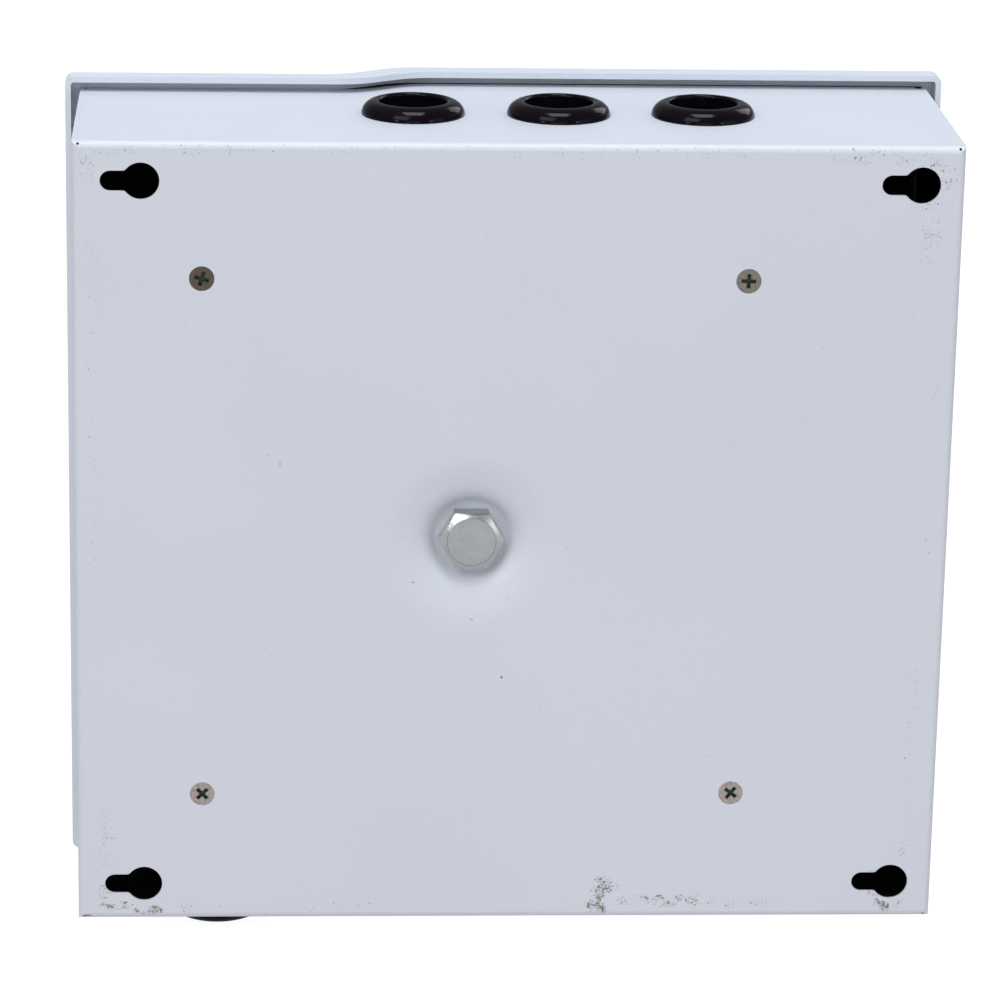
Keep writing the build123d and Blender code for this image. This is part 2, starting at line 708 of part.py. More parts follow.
# ---- front cover ---------------------------------------------------------------------------------
VENT_X = (-28.0, 12.0)
VENT_H = 2.5
VENT_PITCH = 6.0
VENT_ROWS = 6
VENT_FIRST_Z = 45.0
CARD_X = (62.0, 122.0)
CARD_HALF_H = 72.0
CARD_SINK = 0.6


def on_outline(edge):
    """True for an edge of the cover that lies on its outer outline."""
    point = edge @ 0.5
    return (abs(abs(point.X) - COVER_HALF_W) < COVER_CORNER_R
            or abs(abs(point.Z) - COVER_HALF_H) < COVER_CORNER_R)


def cover_block():
    """Outer body of the cover with its rounded corners and front edge."""
    outline = RectangleRounded(2 * COVER_HALF_W, 2 * COVER_HALF_H, COVER_CORNER_R)
    body = slab(outline, 0, FRONT_HIGH + 10) & stepped_zone(FRONT_LOW, FRONT_HIGH, STEP_SHIFT)
    body -= stepped_zone(REAR_LOW, REAR_HIGH)
    front = [f for f in body.faces() if f.normal_at(f.center()).Y < -0.5]
    front_edges = ShapeList([e for f in front for e in f.edges() if on_outline(e)])
    return fillet(front_edges, COVER_EDGE_R)


def cover_cavity():
    """Hollow inside of the cover."""
    half_w = COVER_HALF_W - RIM_WALL
    half_h = COVER_HALF_H - RIM_WALL
    outline = RectangleRounded(2 * half_w, 2 * half_h, 1.0)
    return slab(outline, 0, FRONT_HIGH) & stepped_zone(FRONT_LOW - COVER_WALL,
                                                       FRONT_HIGH - COVER_WALL, STEP_SHIFT)


def pan_outer():
    """Outside of the recessed breaker pan."""
    grow = PAN_WALL
    return block((PAN_X[0] - grow, PAN_X[1] + grow), (PAN_FLOOR - grow + 0.5, FRONT_HIGH - 1),
                 (-PAN_HALF_H - grow, PAN_HALF_H + grow))


def pan_hollow():
    """Inside of the breaker pan, with its hinge-side bevel."""
    hollow = block(PAN_X, (PAN_FLOOR, FRONT_HIGH + 1), (-PAN_HALF_H, PAN_HALF_H))
    bevel = 1.5
    wedge = along_z([(PAN_X[0] + 1, FRONT_HIGH + 0.5), (PAN_X[0] - bevel - 0.5, FRONT_HIGH + 0.5),
                     (PAN_X[0] + 0.5, FRONT_HIGH - bevel - 0.5)], -PAN_HALF_H, PAN_HALF_H)
    return hollow + wedge


def breaker_window():
    """Opening in the pan's floor that the breakers' noses stand in."""
    half = NOSE_HALF + 0.6
    return block((RAIL_X - half, RAIL_X + half), (PAN_FLOOR - 5, PAN_FLOOR + 1),
                 (-STACK_TOP - 0.3, STACK_TOP + 0.3))


def vent_slots():
    """Two groups of round-ended slots in front of the transformer."""
    length = VENT_X[1] - VENT_X[0]
    slot = SlotOverall(length, VENT_H)
    middle = (VENT_X[0] + VENT_X[1]) / 2
    for side in (-1, 1):
        for row in range(VENT_ROWS):
            z = side * (VENT_FIRST_Z + row * VENT_PITCH)
            yield slab(Pos(middle, z) * slot, FRONT_HIGH - 5, FRONT_HIGH + 1)


def boss(sx, sz):
    """Screw boss from the cover's inner face down to a corner tab."""
    edge = BOX_EDGE_LOW if sx > 0 else BOX_EDGE_HIGH
    front = FRONT_LOW if sx > 0 else FRONT_HIGH
    return peg(sx * COVER_SCREW_X, sz * COVER_SCREW_Z, BOSS_R, edge - 1.3, front - 1)


def cover_screw_hole(sx, sz):
    """Through hole with a counterbore for the screw head."""
    front = FRONT_LOW if sx > 0 else FRONT_HIGH
    x = sx * COVER_SCREW_X
    z = sz * COVER_SCREW_Z
    return peg(x, z, 2.2, front - 20, front + 1) + peg(x, z, 3.9, front - 2.6, front + 1)


def latch_pocket():
    """Slot in the pan's side that the latch tongue slides into."""
    return block((PAN_X[1] - 1, PAN_X[1] + 3), (LATCH_TONGUE[0] - 0.5, LATCH_TONGUE[1] + 0.5),
                 (-5.5, 5.5))


def front_cover():
    """Moulded stepped cover with the breaker pan, vents, bosses and card recess."""
    corners = [(sx, sz) for sx in (-1, 1) for sz in (-1, 1)]
    cover = cover_block() - cover_cavity()
    cover += pan_outer()
    for sx, sz in corners:
        cover += boss(sx, sz)
    cover -= pan_hollow()
    cover -= breaker_window()
    cover -= latch_pocket()
    for slot in vent_slots():
        cover -= slot
    for sx, sz in corners:
        cover -= cover_screw_hole(sx, sz)
    for sz in (-1, 1):
        z_pair = sorted((sz * (PAN_HALF_H - 1), sz * PIN_END))
        cover -= post(DOOR_AXIS_X, DOOR_AXIS_DEPTH, DOOR_PIN_R, *z_pair)
    cover -= card_shape(CARD_SINK + 1)
    return cover


def card_shape(thickness):
    """Flat card from the bottom of its recess outwards."""
    outline = RectangleRounded(CARD_X[1] - CARD_X[0], 2 * CARD_HALF_H, 2)
    middle = (CARD_X[0] + CARD_X[1]) / 2
    back = FRONT_LOW - CARD_SINK
    return slab(Pos(middle, 0) * outline, back, back + thickness)


def directory_card():
    """Blank circuit directory card in its recess."""
    return card_shape(0.4)


def cover_screw(sx, sz):
    """Pan-head screw through a boss into a corner tab."""
    edge = BOX_EDGE_LOW if sx > 0 else BOX_EDGE_HIGH
    front = FRONT_LOW if sx > 0 else FRONT_HIGH
    x = sx * COVER_SCREW_X
    z = sz * COVER_SCREW_Z
    seat = front - 2.6
    body = peg(x, z, 3.5, seat, seat + 2.2) + peg(x, z, 1.75, edge - 8, seat)
    head = body.faces().sort_by(Axis.Y)[0].edges()
    body = fillet(head, 0.8)
    return body - cross_recess(x, z, 25, seat + 0.9, seat + 3, 4.0, 1.0)


def cover_screws():
    """The four cover screws."""
    return together(cover_screw(sx, sz) for sx in (-1, 1) for sz in (-1, 1))


# ---- door and latch ------------------------------------------------------------------------------
DOOR_RIGHT = PAN_X[1] - DOOR_GAP
DOOR_HALF_H = PAN_HALF_H - DOOR_GAP
DOOR_BACK = FRONT_HIGH - DOOR_T
LATCH_SLOT_X = (-51.0, -42.4)
LATCH_NECK_X = (LATCH_SLOT_X[0] + MOVING_GAP, LATCH_SLOT_X[0] + MOVING_GAP + 5.0)
LATCH_TONGUE = (DOOR_BACK - 3.3, DOOR_BACK - MOVING_GAP)
BARREL_R = DOOR_T
PIN_DEPTH = 10.0


def door():
    """Flush door with a hinge barrel along its left edge and a slot for its latch."""
    panel = block((DOOR_AXIS_X, DOOR_RIGHT), (DOOR_BACK, FRONT_HIGH), (-DOOR_HALF_H, DOOR_HALF_H))
    free_corners = [e for e in panel.edges().filter_by(Axis.Y) if e.center().X > DOOR_AXIS_X + 1]
    panel = fillet(free_corners, 2.5)
    barrel = post(DOOR_AXIS_X, DOOR_AXIS_DEPTH, BARREL_R, -DOOR_HALF_H, DOOR_HALF_H)
    rib = 3.0
    for z in (-50.0, 50.0):
        panel += block((DOOR_AXIS_X + 8, DOOR_RIGHT - 6), (DOOR_BACK - 1.2, DOOR_BACK),
                       (z - rib / 2, z + rib / 2))
    body = panel + barrel
    body -= block(LATCH_SLOT_X, (DOOR_BACK - 1, FRONT_HIGH + 1), (-6, 6))
    for sz in (-1, 1):
        z_pair = sorted((sz * (DOOR_HALF_H - PIN_DEPTH), sz * (DOOR_HALF_H + 1)))
        body -= post(DOOR_AXIS_X, DOOR_AXIS_DEPTH, DOOR_PIN_R + PIVOT_PLAY, *z_pair)
    return body


def door_hinge_pins():
    """Two steel pins between the pan's ends and the door's barrel."""
    pins = []
    for sz in (-1, 1):
        z_pair = sorted((sz * (DOOR_HALF_H - PIN_DEPTH + 0.5), sz * PIN_END))
        pins.append(post(DOOR_AXIS_X, DOOR_AXIS_DEPTH, DOOR_PIN_R, *z_pair))
    return together(pins)


def door_latch():
    """Thumb slide with a ribbed grip, a neck through the door and a tongue behind it."""
    half = 6 - MOVING_GAP
    grip_x = (LATCH_NECK_X[0] - 3, LATCH_NECK_X[1] + 3.2)
    grip_back = FRONT_HIGH + MOVING_GAP
    grip = block(grip_x, (grip_back, grip_back + 1.4), (-9, 9))
    grip = fillet(grip.edges().filter_by(Axis.Y), 1.5)
    for i in range(4):
        x = grip_x[0] + 2.6 + 2.0 * i
        grip += block((x - 0.4, x + 0.4), (grip_back + 1.4, grip_back + 1.9), (-6.5, 6.5))
    neck = block(LATCH_NECK_X, (LATCH_TONGUE[1] - 1, grip_back + 0.5), (-half, half))
    tongue = block((LATCH_NECK_X[0] - 3, PAN_X[1] - 1.2), LATCH_TONGUE, (-5, 5))
    keeper = block((LATCH_NECK_X[0] - 3, LATCH_NECK_X[1] + 1.5), LATCH_TONGUE, (-8, 8))
    return grip + neck + tongue + keeper


# ---- write the sub-parts -------------------------------------------------------------------------
def build():
    """Every sub-part by its name."""
    parts = {
        "enclosure_box": enclosure_box(),
        "corner_brackets": corner_brackets(),
        "cable_grommet_bottom": bottom_grommet(),
        "centre_bolt": centre_bolt(),
        "centre_washer": centre_washer(),
        "centre_nut": centre_nut(),
        "clamp_plate": clamp_plate(),
        "lower_pad": pad_ring(PLATE_FRONT),
        "upper_pad": pad_ring(RING_FRONT),
        "transformer_core": transformer_core(),
        "transformer_winding": transformer_winding(),
        "rear_screws": rear_screws(),
        "plate_standoffs": plate_standoffs(),
        "plate_nuts": plate_nuts(),
        "equipment_plate": equipment_plate(),
        "din_rail": din_rail(),
        "rail_screws": rail_screws(),
        "rail_stop_upper": rail_stop(STACK_TOP + 0.1),
        "rail_stop_lower": rail_stop(-STACK_TOP - 4.4),
        "main_switch_body": breaker_body(MAIN_CENTRE, 2),
        "main_switch_toggle": toggle(MAIN_CENTRE, 2),
        "toggle_pins": together(toggle_pin(centre, poles) for centre, poles in STACK),
        "terminal_screws": terminal_screws(),
        "comb_busbar": comb_busbar(),
        "comb_insulator": comb_insulator(),
        "neutral_bar": clamp_bar(BAR_Z, NEUTRAL_SEAT),
        "neutral_supports": bar_feet(BAR_Z, NEUTRAL_SEAT, 4, 6),
        "neutral_screws": bar_screws(BAR_Z, NEUTRAL_SEAT),
        "earth_bar": clamp_bar(-BAR_Z, EARTH_SEAT),
        "earth_spacers": bar_feet(-BAR_Z, EARTH_SEAT, 3, 4),
        "earth_screws": bar_screws(-BAR_Z, EARTH_SEAT),
        "terminal_block": terminal_block(),
        "terminal_block_screws": terminal_block_screws(),
        "front_cover": front_cover(),
        "cover_screws": cover_screws(),
        "directory_card": directory_card(),
        "door": door(),
        "door_hinge_pins": door_hinge_pins(),
        "door_latch": door_latch(),
    }
    for side, x in TOP_GROMMETS.items():
        parts[f"cable_grommet_top_{side}"] = top_grommet(x)
    for number in range(1, BREAKERS + 1):
        parts[f"breaker_{number}_body"] = breaker_body(breaker_centre(number), 1)
        parts[f"breaker_{number}_toggle"] = toggle(breaker_centre(number), 1)
    return parts


for part_name, part_shape in build().items():
    save(part_shape, part_name)
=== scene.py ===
"""Looks of the wall-mounted load center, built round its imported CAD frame. Lengths are metres."""
from math import cos, pi, radians, sin

import bpy
from mathutils import Matrix, Vector


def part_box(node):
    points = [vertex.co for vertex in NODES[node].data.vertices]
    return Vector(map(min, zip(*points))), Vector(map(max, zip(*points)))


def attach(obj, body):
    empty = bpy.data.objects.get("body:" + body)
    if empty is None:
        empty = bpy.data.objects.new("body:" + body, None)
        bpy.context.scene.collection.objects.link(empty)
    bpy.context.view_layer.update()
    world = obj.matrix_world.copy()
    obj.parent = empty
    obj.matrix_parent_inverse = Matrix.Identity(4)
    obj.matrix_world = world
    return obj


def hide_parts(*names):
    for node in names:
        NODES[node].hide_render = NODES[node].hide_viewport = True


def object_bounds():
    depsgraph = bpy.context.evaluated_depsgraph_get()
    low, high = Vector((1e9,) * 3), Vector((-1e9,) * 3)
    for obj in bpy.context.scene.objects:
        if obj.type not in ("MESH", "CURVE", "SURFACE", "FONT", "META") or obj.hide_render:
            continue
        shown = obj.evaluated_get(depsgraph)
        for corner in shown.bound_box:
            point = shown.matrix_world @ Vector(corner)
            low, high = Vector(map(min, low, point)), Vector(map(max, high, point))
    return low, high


MM = 0.001

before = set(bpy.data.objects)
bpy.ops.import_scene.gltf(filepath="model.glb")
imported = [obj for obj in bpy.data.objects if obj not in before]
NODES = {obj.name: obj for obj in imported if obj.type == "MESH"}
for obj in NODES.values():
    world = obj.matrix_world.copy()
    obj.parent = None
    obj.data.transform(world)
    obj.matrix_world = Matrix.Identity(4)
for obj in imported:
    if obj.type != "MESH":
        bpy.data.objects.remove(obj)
CAD_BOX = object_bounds()

# ---- places taken from the frame -----------------------------------------------------------------
BOX_LOW, BOX_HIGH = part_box("enclosure_box")
BOLT_LOW, BOLT_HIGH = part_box("centre_bolt")
SCREW_LOW, SCREW_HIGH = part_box("rear_screws")
CARD_LOW, CARD_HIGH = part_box("directory_card")
DOOR_LOW, DOOR_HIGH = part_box("door")
COVER_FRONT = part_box("front_cover")[0][1]
RECESS_FRONT = CARD_LOW[1]  # the card lies in the recessed side's front face
HALF_W = BOX_HIGH[0]
HALF_H = BOX_HIGH[2]
BOLT_X = (BOLT_LOW[0] + BOLT_HIGH[0]) / 2
BOLT_Z = (BOLT_LOW[2] + BOLT_HIGH[2]) / 2
HEX_AF = BOLT_HIGH[2] - BOLT_LOW[2]
FACE_R = 0.43 * HEX_AF      # flat circle of the bolt's head
DISH_CLEAR = 27 * MM        # radius round the bolt that holds the whole dish
SCREW_MID_X = (SCREW_LOW[0] + SCREW_HIGH[0]) / 2
STEP_X = 30 * MM            # the cover's front steps back beyond this X
PAN_REACH = 1.2 * MM        # from the door's edges into the breaker pan's walls
PAN_MID_X = (DOOR_LOW[0] + DOOR_HIGH[0]) / 2
PAN_HALF_W = (DOOR_HIGH[0] - DOOR_LOW[0]) / 2 + PAN_REACH
PAN_HALF_H = DOOR_HIGH[2] + PAN_REACH

# ---- camera --------------------------------------------------------------------------------------
CAMERA_TARGET = Vector((4.31, 0.0, 12.85)) * MM
CAMERA_DISTANCE = 1310.4 * MM
CAMERA_AZIMUTH = radians(-3.43)
CAMERA_ELEVATION = radians(17.0)
CAMERA_ROLL = radians(1.117)
CAMERA_LENS = 159.1
CAMERA_SENSOR = 36.0
CAMERA_REACH = 50.0

# ---- light ---------------------------------------------------------------------------------------
WHITE = (1, 1, 1)
COOL = (0.88, 0.94, 1.0)
# Name, place, (width, height), power in watts, colour.
SOFTBOXES = [
    ("key", (1.9, 2.9, 2.9), (2.4, 2.4), 58, WHITE),
    ("fill_right", (-4.0, 2.6, 1.0), (2.6, 2.6), 14, WHITE),
    ("front", (-2.4, -2.6, 1.9), (1.8, 1.8), 24, WHITE),
    ("overhead", (0.0, 0.5, 3.4), (1.6, 1.6), 73, COOL),
    ("behind_camera", (0.2, 4.0, 0.0), (2.4, 2.4), 17, WHITE),
    ("strip_left", (2.6, 3.2, 0.9), (0.5, 0.22), 6, WHITE),
    ("strip_right", (-2.6, 3.2, 0.9), (0.5, 0.22), 6, WHITE),
]
SKY_COLOUR = (0.95, 0.975, 1.0, 1)
FLOOR_COLOUR = (0.16, 0.16, 0.16, 1)
# Strength of a glow for matt surfaces, for mirror images and for the camera.
SKY_GLOW = (0.52, 0.30, 1.05)
FLOOR_GLOW = (0.52, 0.30, 0.95)
FLOOR_HALF = 6.0
FLOOR_DROP = 1 * MM         # from the object's lowest point to the floor

# ---- colours -------------------------------------------------------------------------------------
PAINT = (0.600, 0.621, 0.688)
UNLIT = (0.02, 0.021, 0.023)
DIRT_TONES = ((0.060, 0.045, 0.028), (0.24, 0.20, 0.12))
COVER_TONES = ((0.62, 0.66, 0.73), (0.645, 0.685, 0.755))
GROMMET_TONES = ((0.0022, 0.0014, 0.0030), (0.0042, 0.0026, 0.0058))
ZINC_TONES = ((0.52, 0.53, 0.55), (0.68, 0.69, 0.70))
BOLT_FACE_TONES = ((0.62, 0.635, 0.66), (0.70, 0.715, 0.735))
# painted highlight on the bolt's upper bevels
BOLT_BEVEL_HIGHLIGHT = (0.74, 0.735, 0.72)
# painted shade on the bolt's top bevel
BOLT_TOP_BEVEL_SHADE = (0.16, 0.165, 0.17)
# painted shade on the up-facing side of the bolt's head
BOLT_TOP_SIDE_SHADE = (0.50, 0.53, 0.55)
# painted shade in a fine ring round the bolt's face
BOLT_RING_SHADE = (0.12, 0.125, 0.13)
NICKEL = (0.74, 0.65, 0.61)
BROWN_TONES = ((0.40, 0.345, 0.31), (0.16, 0.13, 0.10))
TARNISH = (0.20, 0.17, 0.14)
THREAD_LOCK = (0.01, 0.05, 0.025)
DOOR_TONES = ((0.035, 0.05, 0.065), (0.045, 0.06, 0.08))
CARD_TONES = ((0.80, 0.80, 0.77), (0.86, 0.86, 0.84))
CARD_RULE = (0.14, 0.20, 0.32)
INK = (0.02, 0.025, 0.03)

# ---- limits inside the materials -----------------------------------------------------------------
BOX_SKIN = 0.65 * MM        # depth under the box's outer faces where its unlit inside begins
DIRT_DEPTH = (-1.2 * MM, -0.4 * MM)     # Y over which the dirt appears, towards the back face
COVER_MARGIN = 0.3 * MM     # distance inside the box's outline where the cover is unlit
COVER_SKIN = 1.9 * MM       # depth under the cover's front where its unlit inside begins
BEVEL_FADE = 0.15 * MM
BEVEL_HIGHLIGHT_Z = (-2.5 * MM, -0.5 * MM)    # heights from the bolt's axis where bevels turn bright with a painted highlight
TOP_BEVEL_SHADE_FAR = 0.5 * MM        # reach of the painted shade line under the head's top side
TOP_BEVEL_SHADE_NEAR = 0.2 * MM
RING_SHADE_FADE = (0.05 * MM, 0.22 * MM)      # half width of the fine painted shade ring round the bolt's face
RING_SHADE_DEPTH = (-2 * MM, -0.5 * MM)       # Y over which the painted shade ring appears, towards the face
SCREW_FADE = 10 * MM        # half width of the change from one screw's colour to the next one's
RECESS_DEPTH = (-0.9 * MM, -0.35 * MM)  # Y over which the thread lock gives way to the head

# ---- dirt, in millimetres ------------------------------------------------------------------------
# Handling dirt along the edges and corners: (x, z), (half width, half height), strength.
SMEARS = [
    ((121, -112), (3.5, 5), 0.62), ((118, -116), (6, 1.6), 1.0), ((109, -117.5), (5.5, 1.8), 0.95),
    ((121, -95), (3, 14), 0.45), ((94, -117), (12, 2.5), 0.42), ((60, -117), (30, 3), 0.30),
    ((-30, -110), (5, 4), 0.80), ((-28, -116), (5, 4), 1.0), ((-48, -115), (16, 2.5), 0.78),
    ((-68, -116), (16, 2), 0.50), ((-112, -110), (5, 6), 0.60), ((-117, -116), (5, 3), 1.0),
    ((-121, -105), (2, 12), 0.45), ((-122, -60), (2.5, 40), 0.30), ((-124, 20), (2, 60), 0.28),
    ((-122, 110), (7, 11), 0.52), ((-119, 98), (7, 16), 0.42), ((-104, 117.5), (20, 3), 0.50),
    ((126, 112), (3, 6), 0.55), ((118, 118), (9, 2), 0.52), ((90, 118), (22, 2), 0.40),
    ((40, 118), (50, 2.5), 0.32), ((-40, 118), (50, 2.5), 0.32), ((124, 40), (3, 70), 0.30),
]
# Lone marks: (x, z), (half width, half height), darkness.
MARKS = [
    ((2.8, -42.8), (0.35, 0.42), 1.0), ((69.5, 24.0), (0.5, 1.1), 0.30),
    ((29.8, -13.0), (0.5, 0.30), 0.55), ((12.1, -24.6), (0.45, 0.25), 0.55),
    ((127.4, -119.4), (1.4, 0.45), 0.75), ((-63.0, -36.0), (0.35, 0.3), 0.25),
    ((86.0, -60.0), (0.3, 0.3), 0.2), ((-90.0, 60.0), (0.3, 0.35), 0.2),
]
SPECK_LIFT = 0.24           # how much a smear raises the noise that makes its specks

# ---- turned bushes of the top wall ---------------------------------------------------------------
GROMMET_FLANGE_R = 15.5 * MM
GROMMET_BORE_R = 10.1 * MM
GROMMET_NECK_R = 12.3 * MM
GROMMET_LIP_R = 0.9 * MM
GROMMET_H = 4.1 * MM
GROMMET_DEPTH = 7 * MM
GROMMET_STEPS = 14
GROMMET_SIDES = 96
GROMMET_SHARP = radians(50)

# ---- print ---------------------------------------------------------------------------------------
CARD_ROWS = 8
CARD_ROW = (CARD_HIGH[2] - CARD_LOW[2]) / CARD_ROWS
CARD_MARGIN = 9 * MM        # width of the column with the row numbers
RULE_FADE = (0.12 * MM, 0.2 * MM)       # half width of the card's ruled lines
PRINT_T = 0.02 * MM
RATING_OFF = 14.5 * MM      # from a breaker's middle to the middle of its printed rating
RATING_SIZE = 6 * MM
MARKS_SIZE = 3.6 * MM
ROW_NUMBER_SIZE = 4.5 * MM

# ---- plain materials: name, colour, roughness, nodes ---------------------------------------------
BREAKER_BODIES = [n for n in NODES if n.endswith("_body")]
BREAKER_LEVERS = [n for n in NODES if n.endswith("_toggle") and n.startswith("breaker")]
METALS = [
    ("steel", (0.55, 0.55, 0.56), 0.3,
     ["door_hinge_pins", "toggle_pins", "terminal_screws", "neutral_screws", "earth_screws",
      "terminal_block_screws"]),
    ("brass", (0.72, 0.52, 0.22), 0.3, ["neutral_bar", "earth_bar", "earth_spacers"]),
    ("copper", (0.75, 0.36, 0.20), 0.3, ["comb_busbar"]),
    ("core_steel", (0.25, 0.25, 0.26), 0.5, ["transformer_core"]),
]
PLASTICS = [
    ("breaker_plastic", (0.74, 0.74, 0.72), 0.45, BREAKER_BODIES),
    ("black_plastic", (0.018, 0.018, 0.02), 0.3,
     BREAKER_LEVERS + ["terminal_block", "door_latch"]),
    ("grey_plastic", (0.26, 0.27, 0.29), 0.5,
     ["rail_stop_upper", "rail_stop_lower", "comb_insulator"]),
    ("main_toggle", (0.45, 0.03, 0.02), 0.3, ["main_switch_toggle"]),
    ("neutral_plastic", (0.03, 0.10, 0.42), 0.35, ["neutral_supports"]),
    ("pad_rubber", (0.03, 0.03, 0.03), 0.8, ["lower_pad", "upper_pad"]),
    ("winding_tape", (0.62, 0.45, 0.12), 0.35, ["transformer_winding"]),
]
ZINC_NODES = ["centre_nut", "centre_washer", "clamp_plate", "plate_standoffs", "plate_nuts",
              "equipment_plate", "din_rail", "rail_screws", "cover_screws", "corner_brackets"]


# ---- camera, lights and floor --------------------------------------------------------------------
def add_camera():
    """Camera behind the box, a little above it and slightly rolled."""
    away = Vector((-sin(CAMERA_AZIMUTH) * cos(CAMERA_ELEVATION),
                   cos(CAMERA_AZIMUTH) * cos(CAMERA_ELEVATION), sin(CAMERA_ELEVATION)))
    level_right = (-away).cross(Vector((0, 0, 1))).normalized()
    level_up = level_right.cross(-away)
    right = cos(CAMERA_ROLL) * level_right + sin(CAMERA_ROLL) * level_up
    up = cos(CAMERA_ROLL) * level_up - sin(CAMERA_ROLL) * level_right
    data = bpy.data.cameras.new("camera")
    data.lens = CAMERA_LENS
    data.sensor_width = CAMERA_SENSOR
    data.clip_end = CAMERA_REACH
    camera = bpy.data.objects.new("camera", data)
    turn = Matrix((right, up, away)).transposed().to_4x4()
    camera.matrix_world = Matrix.Translation(CAMERA_TARGET + away * CAMERA_DISTANCE) @ turn
    bpy.context.scene.collection.objects.link(camera)
    bpy.context.scene.camera = camera


def add_softbox(name, place, size, power, colour):
    """Rectangular softbox aimed at the middle of the object."""
    data = bpy.data.lights.new(name, "AREA")
    data.shape = "RECTANGLE"
    data.size, data.size_y = size
    data.energy = power
    data.color = colour
    lamp = bpy.data.objects.new(name, data)
    aim = Vector((0, BOX_LOW[1] / 2, 0)) - Vector(place)
    turn = aim.to_track_quat("-Z", "Y").to_matrix().to_4x4()
    lamp.matrix_world = Matrix.Translation(place) @ turn
    bpy.context.scene.collection.objects.link(lamp)


def by_ray(tree, diffuse, glossy, seen):
    """Strength of a glow for matt surfaces, for mirror images and for the camera."""
    path = tree.nodes.new("ShaderNodeLightPath")
    value = diffuse
    for ray, strength in (("Is Glossy Ray", glossy), ("Is Camera Ray", seen)):
        choose = tree.nodes.new("ShaderNodeMix")
        choose.data_type = "FLOAT"
        tree.links.new(path.outputs[ray], choose.inputs[0])
        if isinstance(value, float):
            choose.inputs[2].default_value = value
        else:
            tree.links.new(value, choose.inputs[2])
        choose.inputs[3].default_value = strength
        value = choose.outputs[0]
    return value


def add_world():
    """White room, brighter to the camera than it is as a light."""
    world = bpy.data.worlds.new("studio")
    bpy.context.scene.world = world
    world.use_nodes = True
    tree = world.node_tree
    tree.nodes.clear()
    sky = tree.nodes.new("ShaderNodeBackground")
    sky.inputs["Color"].default_value = SKY_COLOUR
    out = tree.nodes.new("ShaderNodeOutputWorld")
    tree.links.new(by_ray(tree, *SKY_GLOW), sky.inputs["Strength"])
    tree.links.new(sky.outputs[0], out.inputs["Surface"])


def add_lights():
    """White room, a key and an overhead softbox, three fills and two small strips."""
    add_world()
    for softbox in SOFTBOXES:
        add_softbox(*softbox)


def add_floor():
    """Floor that glows white, just under the lowest grommet."""
    level = CAD_BOX[0][2] - FLOOR_DROP
    mesh = bpy.data.meshes.new("floor")
    corners = [(x * FLOOR_HALF, y * FLOOR_HALF, level)
               for x, y in ((-1, -1), (1, -1), (1, 1), (-1, 1))]
    mesh.from_pydata(corners, [], [(0, 1, 2, 3)])
    floor = bpy.data.objects.new("floor", mesh)
    bpy.context.scene.collection.objects.link(floor)
    material = bpy.data.materials.new("floor")
    material.use_nodes = True
    tree = material.node_tree
    shader = tree.nodes["Principled BSDF"]
    shader.inputs["Base Color"].default_value = FLOOR_COLOUR
    shader.inputs["Roughness"].default_value = 1.0
    shader.inputs["Specular IOR Level"].default_value = 0.0
    shader.inputs["Emission Color"].default_value = (1, 1, 1, 1)
    tree.links.new(by_ray(tree, *FLOOR_GLOW), shader.inputs["Emission Strength"])
    mesh.materials.append(material)


